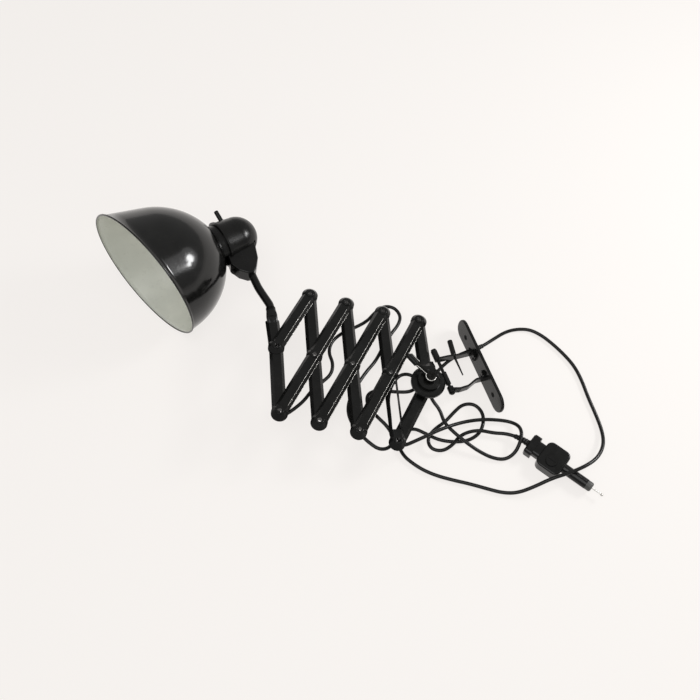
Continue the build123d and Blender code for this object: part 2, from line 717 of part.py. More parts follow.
def make_head():
    skirt = cap_length + skirt_length

    def cap_form(inset):
        """The cap's solid form, its round end toward -X."""
        ball = cap_radius - inset
        foot = cap_foot_radius - inset
        end = cap_length + inset
        middle = ball / sqrt(2)
        lines = [Line((-ball, 0), (end, 0)), Line((end, 0), (end, foot)), Line((end, foot), (0, ball)),
                 ThreePointArc((0, ball), (-middle, middle), (-ball, 0))]
        return revolve(make_face(lines), Axis.X)

    pivot = Pos(knuckle.X, knuckle.Y, 0)
    swing = knuckle_radius + knuckle_gap
    slot_width = knuckle_width + 2 * knuckle_gap
    slot = pivot * Cylinder(swing, slot_width)
    for turn in slot_turns:
        opened = Pos(0, swing, 0) * Box(2 * swing, 2 * swing, slot_width)
        slot += pivot * Rot(0, 0, head_turn + turn) * opened
    reach = slot_width / 2 + cheek_thick
    pin_hole = pivot * Cylinder(pivot_radius + running, 2 * reach)

    body = head * (cap_form(0) - cap_form(cap_wall))
    body += head_axis(ring(skirt_radius, cap_foot_radius - cap_wall, cap_length - skirt_lap, skirt))
    body -= slot
    for side in (-1, 1):
        cheek = pivot * Pos(0, 0, side * (reach - cheek_thick / 2)) * Cylinder(cheek_radius, cheek_thick)
        arm = head * Pos(cap_length - cheek_length / 2, 0, side * (reach - cheek_thick / 2))
        arm = arm * Box(cheek_length, 2 * cap_radius, cheek_thick)
        body += (cheek + arm) & (head * cap_form(0))
    body -= pin_hole
    station = head * Rot(switch_turn, 0, 0) * Pos(switch_station, -cap_radius, 0) * Rot(90, 0, 0)
    body -= station * Cylinder(switch_bush_radius, 2 * switch_bush_radius)
    save("lampholder_cap", body)
    save("knuckle_pin", pivot * Cylinder(pivot_radius, 2 * reach - pin_recess))

    sides = [(-knuckle_radius, 0)] + knuckle_outline + [(knuckle_radius, 0)]
    outline = make_face([Polyline(*sides), ThreePointArc(sides[-1], (0, -knuckle_radius), sides[0])])
    body = pivot * Pos(0, 0, -knuckle_width / 2) * extrude(outline, knuckle_width)
    flats = body.faces().sort_by(Axis.Z)
    body = fillet(flats[0].edges() + flats[-1].edges(), knuckle_edge)
    bore = rod_x(neck_radius + running, -face_gap, knuckle_bore, 0)
    bore = toward(neck_points[-1], neck_points[-2]) * bore
    body = body - pin_hole - bore
    screw = pivot * Pos(friction_screw[0], friction_screw[1], 0) * Rot(0, 0, friction_screw[2])
    body -= screw * rod_x(friction_shank + running, -friction_depth - over / 2, through, 0)
    save("knuckle", body)
    stud = rod_x(friction_shank, -friction_depth, friction_depth, 0)
    stud += rod_x(friction_head, friction_seat, friction_seat + friction_head_thick, 0)
    save("friction_screw", screw * stud)

    # ring that carries the shade, lampholder and bulb
    carrier_end = neck_plane + shade_seat - face_gap
    carrier = head_axis(ring(neck_ring_radius, socket_radius + running, skirt, carrier_end))
    save("shade_carrier", carrier - slot)
    seat = neck_plane + shade_seat + shade_wall
    shade_nut = ring(shade_ring_radius, socket_radius + running, seat, seat + shade_ring_length)
    save("shade_ring", head_axis(shade_nut))
    front = socket_start + socket_length
    floor_end = socket_start + socket_floor
    holder = head_axis(ring(socket_radius, socket_radius - socket_wall, socket_start, front))
    holder += head_axis(post(socket_radius - over, socket_start, floor_end))
    save("lampholder", holder)
    save("lampholder_contact", head_axis(post(socket_contact_radius, floor_end, floor_end + contact_height)))
    base = floor_end + contact_height
    cap_end = base + bulb_cap_length
    bulb_cap = post(bulb_cap_radius, base, cap_end)
    save("bulb_cap", head_axis(bulb_cap))
    glass_x = base + bulb_reach - bulb_radius
    neck_r = bulb_cap_radius - bulb_cap_wall
    shoulder = radians(bulb_shoulder)
    tangent = Vector(glass_x - bulb_radius * cos(shoulder), bulb_radius * sin(shoulder))
    tip = Vector(glass_x + bulb_radius, 0)
    lines = [Line((cap_end, 0), (cap_end, neck_r)), Line((cap_end, neck_r), tangent),
             ThreePointArc(tangent, (glass_x, bulb_radius), tip), Line(tip, (cap_end, 0))]
    save("bulb", head * revolve(make_face(lines), Axis.X))

    # switch lever through the cap's side
    bore = switch_peg_radius + switch_swing_gap
    bush = ring(switch_bush_radius - running, bore, -switch_bush_in, switch_bush_out)
    save("switch_bush", station * bush)
    peg = post(switch_peg_radius, -switch_peg_in, switch_peg_length)
    peg = fillet(peg.edges().group_by(Axis.Z)[-1], switch_peg_round)
    half = switch_pivot_length / 2
    peg += rod_y(switch_pivot_radius, -half, half, 0, -switch_pivot_depth)
    save("switch_lever", station * peg)


# ---------------------------------------------------------------- cords and plug
def leaned(x, y, z):
    """A point of the lamp frame in the row frame."""
    return tuple((lie * Pos(x, y, z)).position)


def bracket_y(x):
    """Side to side place of the flex under the bracket, from the plate's grommet to under the hub."""
    share = (x - plate_thick) / (hub_reach - plate_thick)
    return grommet_y + bracket_drift * share ** 2


def cord(name, points, place=Location()):
    """A flex along points, each bend as large as its two runs allow."""
    spots = [Vector(*point) for point in points]
    bends = []
    for before, here, after in zip(spots, spots[1:], spots[2:]):
        arrive = here - before
        leave = after - here
        turn = radians(arrive.get_angle(leave))
        bends.append(bend_share * min(arrive.length, leave.length) / tan(turn / 2))
    path = FilletPolyline(*spots, radius=bends)
    tube = sweep(Plane(origin=path @ 0, z_dir=path % 0) * Circle(cord_radius), path=path)
    share = tube.volume / (pi * cord_radius ** 2 * path.length)
    least = sorted(round(bend) for bend in bends)[:8]
    print(name, "length", round(path.length), "volume share", round(share, 4), "least radii", least)
    save(name, tube, place)


def make_cords():
    cord("mains_lead", [leaned(0, grommet_y, grommet_z)] + mains_points)
    first = Vector(*arm_points[0])
    run = Vector(*arm_points[1]) - first
    joined = [first - run * joint_run, first]
    spots = [leaned(plate_thick + grommet_flange, grommet_y, grommet_z)]
    spots += [leaned(x, bracket_y(x), z) for x, z in bracket_points]
    cord("hub_lead", spots + hub_points + [leaned(*spot) for spot in joined])
    cord("arm_lead", arm_points, lie)
    half = bar_length / 2
    before = toward(left(3), mid(4))
    after = toward(mid(4), mouth)
    spots = [(before * Pos(share * half, y, z)).position for share, y, z in channel_points]
    spots += [(after * Pos(*spot)).position for spot in elbow_points]
    cord("head_lead", spots, lie)


def make_plug():
    place = Location((plug_x, plug_y, floor + collar_size[2] / 2), (0, 0, plug_turn))

    def block(size, start, corner):
        """A rounded block along X from start, its size given as length, width and height."""
        face = Plane(origin=(start, 0, 0), x_dir=(0, 1, 0), z_dir=(1, 0, 0))
        return extrude(face * RectangleRounded(size[1], size[2], corner), size[0])

    waist_start = collar_size[0]
    block_start = waist_start + waist_size[0]
    block_end = block_start + block_size[0]
    rear = block(collar_size, 0, body_corner)
    rear = chamfer(rear.faces().sort_by(Axis.X)[0].edges(), collar_edge)
    body = rear + block(waist_size, waist_start, body_corner)
    main = Pos((block_start + block_end) / 2, 0, 0) * Box(*block_size)
    main = fillet(main.edges().filter_by(Axis.Z), block_corner)
    main = fillet(main.faces().sort_by(Axis.Z)[-1].edges(), block_edge)
    middle = Pos((block_start + block_end) / 2, -dial_side, block_size[2] / 2)
    body += main
    body -= middle * Cylinder(dial_radius + dial_gap, 2 * dial_depth)
    body -= rod_x(barrel_radius + running, block_end - plug_bite, block_end + over, 0)
    save("plug_body", place * body, Location())
    dial = post(dial_radius, -dial_depth, dial_depth - dial_gap)
    dial -= Pos(0, 0, dial_depth) * Box(2 * (dial_radius - dial_groove), dial_groove, dial_depth)
    save("plug_dial", place * middle * dial, Location())
    barrel = rod_x(barrel_radius, block_end - plug_bite, barrel_end, 0)
    save("plug_barrel", place * barrel, Location())
    nose = rod_x(nose_radius, barrel_end, barrel_end + barrel_nose, 0)
    nose = fillet(nose.faces().sort_by(Axis.X)[-1].edges(), nose_round)
    save("plug_nose", place * nose, Location())
    start = barrel_end + barrel_nose
    tip = rod_x(tip_radius, start, start + tip_length, 0)
    tip += Pos(start + tip_length, 0, 0) * Sphere(tip_ball)
    save("plug_pin", place * tip, Location())


# ---------------------------------------------------------------- run
make_bars()
make_hub()
make_bracket()
make_neck()
make_shade()
make_head()
make_cords()
make_plug()
print("nodes", len(os.listdir("parts")))
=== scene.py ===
# %% [markdown]
# # An accordion wall lamp, lying folded on a pale floor
#
# A lamp like this was made to reach over a bench. A plate screws to the wall, a hub clamps with a lever,
# and six pressed steel bars cross and pivot so that the head travels out and back. Here it lies down with
# its plug, resting on the plate's lower edge and on the rim of its shade, so the whole arm leans a little.
#
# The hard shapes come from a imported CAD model, in metres, in one shared frame. This notebook loads that
# frame, dresses it in enamel, steel, rubber and glass, lays the flex as smooth curves, and sets the camera
# and the light. Nothing is moved: a piece goes where the model says.

# %% Load the frame
import json
from math import asin, cos, pi, radians, sin, sqrt, tan

import bmesh
import bpy
from mathutils import Matrix, Vector

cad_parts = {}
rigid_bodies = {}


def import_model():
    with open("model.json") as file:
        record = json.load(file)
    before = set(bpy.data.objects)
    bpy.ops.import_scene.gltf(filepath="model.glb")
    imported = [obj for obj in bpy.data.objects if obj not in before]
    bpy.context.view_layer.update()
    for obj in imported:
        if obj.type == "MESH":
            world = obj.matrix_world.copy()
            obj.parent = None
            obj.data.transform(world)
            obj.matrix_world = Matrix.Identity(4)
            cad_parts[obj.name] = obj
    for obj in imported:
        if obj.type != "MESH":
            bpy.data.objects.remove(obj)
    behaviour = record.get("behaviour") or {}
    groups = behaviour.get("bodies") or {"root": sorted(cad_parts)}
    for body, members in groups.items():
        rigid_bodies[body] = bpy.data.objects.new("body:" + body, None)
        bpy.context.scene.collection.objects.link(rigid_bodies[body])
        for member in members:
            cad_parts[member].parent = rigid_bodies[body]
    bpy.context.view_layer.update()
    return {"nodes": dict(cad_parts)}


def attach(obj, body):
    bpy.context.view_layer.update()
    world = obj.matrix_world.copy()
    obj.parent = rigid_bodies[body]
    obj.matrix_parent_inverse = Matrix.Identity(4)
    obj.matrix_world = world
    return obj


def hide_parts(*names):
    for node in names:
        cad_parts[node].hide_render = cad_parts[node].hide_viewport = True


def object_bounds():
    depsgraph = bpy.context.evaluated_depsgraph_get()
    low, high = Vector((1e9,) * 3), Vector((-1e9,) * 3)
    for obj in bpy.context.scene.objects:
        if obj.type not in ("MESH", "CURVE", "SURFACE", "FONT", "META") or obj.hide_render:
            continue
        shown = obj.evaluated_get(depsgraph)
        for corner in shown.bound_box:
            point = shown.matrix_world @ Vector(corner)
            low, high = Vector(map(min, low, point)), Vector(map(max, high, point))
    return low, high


bpy.ops.object.select_all(action="SELECT")
bpy.ops.object.delete()
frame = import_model()
nodes = frame["nodes"]
scene = bpy.context.scene

# %% [markdown]
# ## The lamp's own frame
#
# The bars fold in one plane, and that plane leans back by a few degrees. It is easier to think in the lamp's
# own axes, X out of the wall plate, Y along it and Z square to the bars, and to turn the result at the end.
# The same trick works for the head, which points 15.5 degrees round from the lamp's X.

# %% From the lamp's frame and the head's frame to the row frame
LEAN = radians(11.228)


def leaned(x, y, z):
    """A point of the lamp's frame, in millimetres, as a point of the row frame, in metres."""
    return Vector((x * cos(LEAN) - z * sin(LEAN), y, x * sin(LEAN) + z * cos(LEAN))) / 1000


HEAD_TURN = radians(15.5)
HEAD_AT = (293.826, -317.448)


def headed(x, y, z):
    """A point of the head's frame, X along the lampholder, in the row frame, in metres."""
    return leaned(HEAD_AT[0] + x * cos(HEAD_TURN) - y * sin(HEAD_TURN),
                  HEAD_AT[1] + x * sin(HEAD_TURN) + y * cos(HEAD_TURN), z)


# %% [markdown]
# ## The camera
#
# A photograph fixes four things: where the camera stood, which way it looked, how wide it saw, and the crop.
# They were solved from the shape of the shade's rim and the straight bars, and are given below as numbers.
# Two directions are given, the camera's right and its forward, and its up follows from them. A lens of 43.7
# mm on a 36 mm sensor gives the width.

# %% Set the camera
LENS_MM, SENSOR_MM = 43.7, 36.0
NEAREST, FARTHEST = 0.05, 30
CAMERA_AT = Vector((0.33137, 0.478, 1.16994))
RIGHT = Vector((-0.9418, 0.3338, -0.0400))
FORWARD = Vector((-0.1168, -0.4366, -0.8920)).normalized()
RIGHT = (RIGHT - FORWARD * RIGHT.dot(FORWARD)).normalized()
UP = RIGHT.cross(FORWARD)

camera_data = bpy.data.cameras.new("camera")
camera_data.lens = LENS_MM
camera_data.sensor_width = SENSOR_MM
camera_data.clip_start = NEAREST
camera_data.clip_end = FARTHEST
camera = bpy.data.objects.new("camera", camera_data)
scene.collection.objects.link(camera)
turn = Matrix((RIGHT, UP, -FORWARD)).transposed().to_4x4()
camera.matrix_world = Matrix.Translation(CAMERA_AT) @ turn
scene.camera = camera

# %% [markdown]
# ## The flex
#
# A rubber flex never kinks by itself. Each stretch is a NURBS curve whose control points are the route that
# the CAD tube follows, so the two lie together. The order is set after the points are added: an order of 3
# rounds every corner, and the end points are used, so the curve starts and stops exactly where it should.
#
# Three stretches show. One droops from the back of the plate, wanders over the floor and comes back to the
# plug. One leaves the plate's front, runs under the bracket and loops on the floor. One is tucked under the
# folded bars and makes its own loops there.

# %% Routes of the flex
MAINS = [
    (0.0016, -0.0315, -0.0078), (-0.0140, -0.0330, -0.0115), (-0.0380, -0.0400, -0.0145),
    (-0.0620, -0.0460, -0.0151), (-0.0820, -0.0440, -0.0151), (-0.1000, -0.0360, -0.0151),
    (-0.1120, -0.0210, -0.0151), (-0.1210, -0.0030, -0.0151), (-0.1300, 0.0210, -0.0151),
    (-0.1360, 0.0450, -0.0151), (-0.1360, 0.0700, -0.0151), (-0.1320, 0.1000, -0.0151),
    (-0.1300, 0.1320, -0.0151), (-0.1260, 0.1580, -0.0139), (-0.1160, 0.1780, -0.0080),
    (-0.0980, 0.1930, -0.0015), (-0.0760, 0.2000, 0.0044), (-0.0480, 0.2020, 0.0062),
    (-0.0200, 0.2005, 0.0058), (0.0060, 0.2010, -0.0035), (0.0290, 0.1990, -0.0125),
    (0.0480, 0.1910, -0.0151), (0.0660, 0.1780, -0.0151), (0.0860, 0.1630, -0.0151),
    (0.1070, 0.1490, -0.0151), (0.1250, 0.1360, -0.0151), (0.1400, 0.1220, -0.0151),
    (0.1520, 0.1060, -0.0151), (0.1610, 0.0890, -0.0151), (0.1620, 0.0700, -0.0151),
    (0.1500, 0.0540, -0.0151), (0.1310, 0.0540, -0.0151), (0.1180, 0.0680, -0.0151),
    (0.1040, 0.0840, -0.0151), (0.0850, 0.0950, -0.0151), (0.0640, 0.1010, -0.0151),
    (0.0440, 0.0970, -0.0151), (0.0310, 0.0840, -0.0151), (0.0250, 0.0670, -0.0151),
    (0.0310, 0.0500, -0.0151), (0.0480, 0.0440, -0.0151), (0.0660, 0.0520, -0.0151),
    (0.0840, 0.0620, -0.0139), (0.1030, 0.0680, -0.0104), (0.1190, 0.0780, -0.0092),
    (0.1210, 0.0950, -0.0092), (0.1060, 0.1050, -0.0092), (0.0880, 0.1010, -0.0089),
    (0.0740, 0.0920, -0.0089), (0.0580, 0.0900, -0.0089), (0.0410, 0.0940, -0.0089),
    (0.0240, 0.1040, -0.0116), (0.0070, 0.1120, -0.0096), (-0.0088, 0.1261, -0.0081),
    (-0.0160, 0.1379, -0.0081),
]
HUB = [
    (0.0071, -0.0315, -0.0068), (0.0251, -0.0296, -0.0032), (0.0450, -0.0239, -0.0007),
    (0.0633, -0.0154, -0.0007), (0.0812, -0.0039, 0.0016), (0.0920, 0.0160, 0.0045),
    (0.0918, 0.0300, 0.0031), (0.0860, 0.0460, -0.0015), (0.0880, 0.0660, -0.0027),
    (0.0800, 0.0860, -0.0027), (0.0700, 0.1050, -0.0033), (0.0570, 0.1220, -0.0098),
    (0.0410, 0.1380, -0.0145), (0.0240, 0.1470, -0.0145), (0.0080, 0.1440, -0.0080),
    (-0.0040, 0.1330, -0.0016), (-0.0120, 0.1210, -0.0016), (-0.0150, 0.1070, -0.0095),
    (-0.0070, 0.0950, -0.0146), (0.0090, 0.0870, -0.0122), (0.0320, 0.0790, -0.0086),
    (0.0600, 0.0740, -0.0057), (0.0960, 0.0770, 0.0064), (0.1282, 0.0829, 0.0138),
    (0.1493, 0.0860, 0.0180),
]
ARM = [
    (0.1493, 0.0860, 0.0180), (0.1611, 0.0877, 0.0204), (0.1709, 0.0790, 0.0223),
    (0.1719, 0.0650, 0.0225), (0.1660, 0.0490, 0.0213), (0.1611, 0.0316, 0.0204),
    (0.1552, 0.0096, 0.0192), (0.1415, -0.0104, 0.0165), (0.1229, -0.0234, 0.0128),
    (0.1062, -0.0184, 0.0095), (0.1013, -0.0014, 0.0085), (0.1160, 0.0096, 0.0114),
    (0.1397, 0.0006, 0.0102), (0.1632, -0.0104, 0.0149), (0.1827, -0.0054, 0.0246),
    (0.1886, 0.0136, 0.0258), (0.1807, 0.0336, 0.0243), (0.1719, 0.0516, 0.0225),
    (0.1690, 0.0696, 0.0219), (0.1788, 0.0846, 0.0239), (0.1954, 0.0836, 0.0272),
    (0.2062, 0.0686, 0.0293), (0.2146, 0.0501, 0.0310), (0.2200, 0.0306, 0.0320),
    (0.2180, 0.0096, 0.0317), (0.2043, -0.0114, 0.0289), (0.1876, -0.0264, 0.0256),
    (0.1699, -0.0414, 0.0221), (0.1503, -0.0544, 0.0182), (0.1288, -0.0774, 0.0139),
    (0.1111, -0.0934, 0.0104), (0.0934, -0.1064, 0.0069), (0.0846, -0.1204, 0.0052),
    (0.0885, -0.1374, 0.0060), (0.1042, -0.1444, 0.0091), (0.1219, -0.1364, 0.0126),
    (0.1386, -0.1244, 0.0159), (0.1601, -0.1184, 0.0202), (0.1837, -0.1144, 0.0248),
    (0.2043, -0.1034, 0.0289), (0.2141, -0.0864, 0.0309), (0.2131, -0.0674, 0.0307),
    (0.2219, -0.0504, 0.0324), (0.2396, -0.0414, 0.0359), (0.2582, -0.0324, 0.0396),
    (0.2739, -0.0194, 0.0428), (0.2920, -0.0114, 0.0442), (0.3038, -0.0085, 0.0437),
    (0.3108, -0.0068, 0.0470), (0.3140, -0.0060, 0.0514),
]
CHANNEL = [
    (0.3142, -0.0090, 0.0555), (0.3124, -0.0145, 0.0578), (0.3082, -0.0290, 0.0577),
    (0.3018, -0.0519, 0.0563), (0.2954, -0.0779, 0.0552), (0.2888, -0.1030, 0.0538),
    (0.2842, -0.1280, 0.0529), (0.2816, -0.1461, 0.0524),
]

FLEX = 0.0054  # the flex's diameter
CORNER_ORDER = 3
STEPS_PER_KNOT = 10
FLEX_ROUNDNESS = 6


def route(name, points):
    """A NURBS curve with the route's points as its control points."""
    data = bpy.data.curves.new(name, "CURVE")
    data.dimensions = "3D"
    spline = data.splines.new("NURBS")
    spline.points.add(len(points) - 1)
    for knot, spot in zip(spline.points, points):
        knot.co = (*spot, 1.0)
        knot.radius = FLEX / 2
    spline.order_u = CORNER_ORDER
    spline.use_endpoint_u = True
    spline.resolution_u = STEPS_PER_KNOT
    made = bpy.data.objects.new(name, data)
    scene.collection.objects.link(made)
    return made


def lay_flex(name, points, body, node, length, far_end, with_pieces=()):
    """A round flex on its route, standing for its CAD tube."""
    flex = route(name, points)
    flex.data.bevel_depth = 1.0
    flex.data.bevel_resolution = FLEX_ROUNDNESS
    flex.data.use_fill_caps = True
    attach(flex, body)
    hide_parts(node)
    print(name, "is laid on", len(points), "points,", length, "m")
    return flex


# %% [markdown]
# ## A sleeve where the flex meets a housing
#
# A flex that went straight into a hard plug would break at the edge, so a short tapered rubber sleeve spreads
# the bend. It is made on points read back from the flex's own spline, so it can't miss it, and small ribs let
# it flex. The ring of each station is turned along with the route, which keeps the ribs square to it.

# %% Tapered sleeves
SLEEVE_SIDES = 28
SLEEVE_STEP = 0.0008
RIB_HEIGHT = 0.00035
RIBS = 6
SNUG_FROM = 0.97
SNUG_GAP = 0.0001


def spline_points(points):
    """Points along the smooth line, as the curve itself gives them."""
    bare = route("bare_route", points)
    line = bpy.data.meshes.new_from_object(bare)
    found = [vertex.co.copy() for vertex in line.vertices]
    bpy.data.objects.remove(bare)
    bpy.data.meshes.remove(line)
    return found


def sleeve(name, line, reach, thick, thin, body):
    """A ribbed, tapered sleeve from the first point of a line, as long as reach."""
    mesh = bmesh.new()
    side = Vector((0, 0, 1))
    rings, run = [], 0.0
    stations = [line[0]]
    for here, ahead in zip(line, line[1:]):
        steps = max(1, round((ahead - here).length / SLEEVE_STEP))
        stations += [here.lerp(ahead, (k + 1) / steps) for k in range(steps)]
    for index, here in enumerate(stations[:-1]):
        if index:
            run += (here - stations[index - 1]).length
        if run > reach:
            break
        way = (stations[index + 1] - here).normalized()
        side = (side - way * side.dot(way)).normalized()
        other = way.cross(side)
        share = run / reach
        radius = thick + (thin - thick) * share + RIB_HEIGHT * sin(share * 2 * pi * RIBS)
        if share > SNUG_FROM:
            radius = FLEX / 2 + SNUG_GAP
        rings.append([mesh.verts.new(here + side * radius * cos(2 * pi * k / SLEEVE_SIDES) +
                                     other * radius * sin(2 * pi * k / SLEEVE_SIDES))
                      for k in range(SLEEVE_SIDES)])
    for first, second in zip(rings, rings[1:]):
        for k in range(SLEEVE_SIDES):
            n = (k + 1) % SLEEVE_SIDES
            mesh.faces.new((first[k], first[n], second[n], second[k]))
    mesh.faces.new(rings[0][::-1])
    mesh.faces.new(rings[-1])
    bmesh.ops.recalc_face_normals(mesh, faces=mesh.faces)
    data = bpy.data.meshes.new(name)
    mesh.to_mesh(data)
    mesh.free()
    for face in data.polygons:
        face.use_smooth = True
    made = bpy.data.objects.new(name, data)
    scene.collection.objects.link(made)
    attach(made, body)
    print(name, "has", len(data.polygons), "faces")
    return made


mains_line = spline_points(MAINS)
plug_sleeve = sleeve("plug_sleeve", mains_line[::-1], 0.024, 0.0052, 0.0033, "bracket")
wall_sleeve = sleeve("wall_sleeve", mains_line, 0.022, 0.0044, 0.0031, "bracket")

# %% [markdown]
# ## Laying the four stretches
#
# The plug's pieces lie on the end of the mains stretch, and they are listed in its row. The short stretch
# that hides in the head bar's channel rides with that bar, and takes the current on towards the neck.

# %% Four stretches of flex
PLUG = ["plug_body", "plug_dial", "plug_barrel", "plug_nose", "plug_pin"]
sleeves = [plug_sleeve, wall_sleeve]
STRETCHES = [
    ("mains_flex", MAINS, "bracket", "mains_lead", 1.139, "plug", PLUG + sleeves),
    ("hub_flex", HUB, "bracket", "hub_lead", 0.503, "object"),
    ("arm_flex", ARM, "hub", "arm_lead", 0.945, "object"),
    ("channel_flex", CHANNEL, "head_bar", "head_lead", 0.142, "object"),
]
flexes = [lay_flex(*stretch) for stretch in STRETCHES] + sleeves

# %% [markdown]
# ## Effects that many finishes share
#
# Black things are hard: they show almost nothing but what they reflect. What tells enamel from rubber or
# moulded plastic is how sharp the reflection is and how it breaks up. Four small node groups carry that. One
# varies tone and gloss in patches, one adds the ripple of sprayed or moulded skin, one scatters dust, and one
# draws the fine lines of bare metal. Each material places them with its own values, so a change here reaches
# every finish.

# %% Node groups
def group(name, inputs, outputs):
    """An empty node group with named sockets."""
    made = bpy.data.node_groups.new(name, "ShaderNodeTree")
    for label, kind, value in inputs:
        socket = made.interface.new_socket(label, in_out="INPUT", socket_type=kind)
        socket.default_value = value
    for label, kind in outputs:
        made.interface.new_socket(label, in_out="OUTPUT", socket_type=kind)
    return made, made.nodes.new("NodeGroupInput").outputs, made.nodes.new("NodeGroupOutput").inputs


def noise_in(tree, scale, detail, rough):
    """Noise in the object's own coordinates, its scale a number or a socket."""
    coords = tree.nodes.new("ShaderNodeTexCoord")
    made = tree.nodes.new("ShaderNodeTexNoise")
    tree.links.new(coords.outputs["Object"], made.inputs["Vector"])
    made.inputs["Detail"].default_value = detail
    made.inputs["Roughness"].default_value = rough
    if isinstance(scale, (int, float)):
        made.inputs["Scale"].default_value = scale
    else:
        tree.links.new(scale, made.inputs["Scale"])
    return made.outputs["Fac"]


def spread(tree, value, low, high, to_low=0.0, to_high=1.0):
    """Map a range to another, clamped; the ends may be sockets."""
    made = tree.nodes.new("ShaderNodeMapRange")
    tree.links.new(value, made.inputs["Value"])
    for label, end in (("From Min", low), ("From Max", high), ("To Min", to_low), ("To Max", to_high)):
        if isinstance(end, (int, float)):
            made.inputs[label].default_value = end
        else:
            tree.links.new(end, made.inputs[label])
    return made.outputs["Result"]


def blend(tree, factor, first, second):
    """Mix two colours, each a colour or a socket."""
    made = tree.nodes.new("ShaderNodeMix")
    made.data_type = "RGBA"
    tree.links.new(factor, made.inputs[0])
    for socket, value in ((made.inputs[6], first), (made.inputs[7], second)):
        if isinstance(value, tuple):
            socket.default_value = (*value, 1)
        else:
            tree.links.new(value, socket)
    return made.outputs[2]


COLOUR, NUMBER = "NodeSocketColor", "NodeSocketFloat"
RIPPLE_DEPTH, LINE_DEPTH = 0.0004, 0.0002
LINE_STRETCH = (80, 80, 1800)
patchy, given, sent = group("patchy_tone", [("Scale", NUMBER, 40), ("Dark", COLOUR, (0, 0, 0, 1)),
                                            ("Light", COLOUR, (1, 1, 1, 1)), ("Low", NUMBER, 0.2),
                                            ("High", NUMBER, 0.4)],
                            [("Colour", COLOUR), ("Roughness", NUMBER)])
tone = spread(patchy, noise_in(patchy, given["Scale"], 5, 0.6), 0.32, 0.72)
patchy.links.new(blend(patchy, tone, given["Dark"], given["Light"]), sent["Colour"])
gloss = noise_in(patchy, 95, 6, 0.65)
patchy.links.new(spread(patchy, gloss, 0.3, 0.75, given["Low"], given["High"]), sent["Roughness"])

ripple, given, sent = group("skin_ripple", [("Scale", NUMBER, 400), ("Strength", NUMBER, 0.1)],
                            [("Normal", "NodeSocketVector")])
raised = ripple.nodes.new("ShaderNodeBump")
raised.inputs["Distance"].default_value = RIPPLE_DEPTH
ripple.links.new(given["Strength"], raised.inputs["Strength"])
ripple.links.new(noise_in(ripple, given["Scale"], 3, 0.5), raised.inputs["Height"])
ripple.links.new(raised.outputs["Normal"], sent["Normal"])

dusty, given, sent = group("settled_dust", [("Amount", NUMBER, 0.2), ("Scale", NUMBER, 700)],
                           [("Mask", NUMBER)])
specks = noise_in(dusty, given["Scale"], 2, 0.4)
dusty.links.new(spread(dusty, specks, 0.66, 0.76, 0.0, given["Amount"]), sent["Mask"])

brushed, given, sent = group("brushed_lines", [("Low", NUMBER, 0.2), ("High", NUMBER, 0.5)],
                             [("Roughness", NUMBER), ("Normal", "NodeSocketVector")])
coords = brushed.nodes.new("ShaderNodeTexCoord")
stretch = brushed.nodes.new("ShaderNodeMapping")
stretch.inputs["Scale"].default_value = LINE_STRETCH
brushed.links.new(coords.outputs["Object"], stretch.inputs["Vector"])
fine = brushed.nodes.new("ShaderNodeTexNoise")
fine.inputs["Scale"].default_value = 1.0
brushed.links.new(stretch.outputs["Vector"], fine.inputs["Vector"])
lines = spread(brushed, fine.outputs["Fac"], 0.35, 0.7, given["Low"], given["High"])
brushed.links.new(lines, sent["Roughness"])
raised = brushed.nodes.new("ShaderNodeBump")
raised.inputs["Strength"].default_value = 0.12
raised.inputs["Distance"].default_value = LINE_DEPTH
brushed.links.new(fine.outputs["Fac"], raised.inputs["Height"])
brushed.links.new(raised.outputs["Normal"], sent["Normal"])
print(len(bpy.data.node_groups), "node groups")

# %% [markdown]
# ## Enamel, mouldings, rubber and metal
#
# One helper makes every coated finish from the groups, another makes bare metal. The enamel is nearly black
# with a sharp gloss. The mouldings are softer. The rubber is dull with more dust. Rounded edges of the
# enamelled steel get their own version, rubbed through in places to the steel below.

# %% Materials
DUST = (0.2, 0.195, 0.185)
BARED = (0.22, 0.2, 0.18)
FINE_SKIN = 420.0
METAL_PATCHES = 150.0


def place(tree, shared, **values):
    """Put a group into a material with its own values."""
    made = tree.nodes.new("ShaderNodeGroup")
    made.node_tree = shared
    for label, value in values.items():
        made.inputs[label].default_value = (*value, 1) if isinstance(value, tuple) else value
    return made.outputs


def start(name):
    """A new material, its node tree and the inputs of its shader."""
    made = bpy.data.materials.new(name)
    made.use_nodes = True
    return made, made.node_tree, made.node_tree.nodes["Principled BSDF"].inputs


def coated(name, tones, gloss, ripples, dust, rubbed=None, coat=0.0):
    """Enamel, plastic or rubber; rubbed is the share of the skin worn through to steel."""
    made, tree, skin = start(name)
    dark, light = tones
    low, high = gloss
    tones = place(tree, patchy, Scale=38.0, Dark=dark, Light=light, Low=low, High=high)
    settled = place(tree, dusty, Amount=dust)
    colour = blend(tree, settled["Mask"], tones["Colour"], DUST)
    if rubbed:
        worn = spread(tree, noise_in(tree, 330, 6, 0.7), 0.62 - rubbed, 0.66 - rubbed)
        colour = blend(tree, worn, colour, BARED)
        tree.links.new(worn, skin["Metallic"])
    tree.links.new(colour, skin["Base Color"])
    tree.links.new(tones["Roughness"], skin["Roughness"])
    tree.links.new(place(tree, ripple, Scale=FINE_SKIN, Strength=ripples)["Normal"], skin["Normal"])
    skin["Specular IOR Level"].default_value = 0.3
    skin["Coat Weight"].default_value = coat
    skin["Coat Roughness"].default_value = 0.06
    return made


def metal(name, dark, light, low, high):
    """Bare metal with fine lines."""
    made, tree, skin = start(name)
    skin["Metallic"].default_value = 1.0
    tones = place(tree, patchy, Scale=METAL_PATCHES, Dark=dark, Light=light)
    lines = place(tree, brushed, Low=low, High=high)
    tree.links.new(tones["Colour"], skin["Base Color"])
    tree.links.new(lines["Roughness"], skin["Roughness"])
    tree.links.new(lines["Normal"], skin["Normal"])
    return made


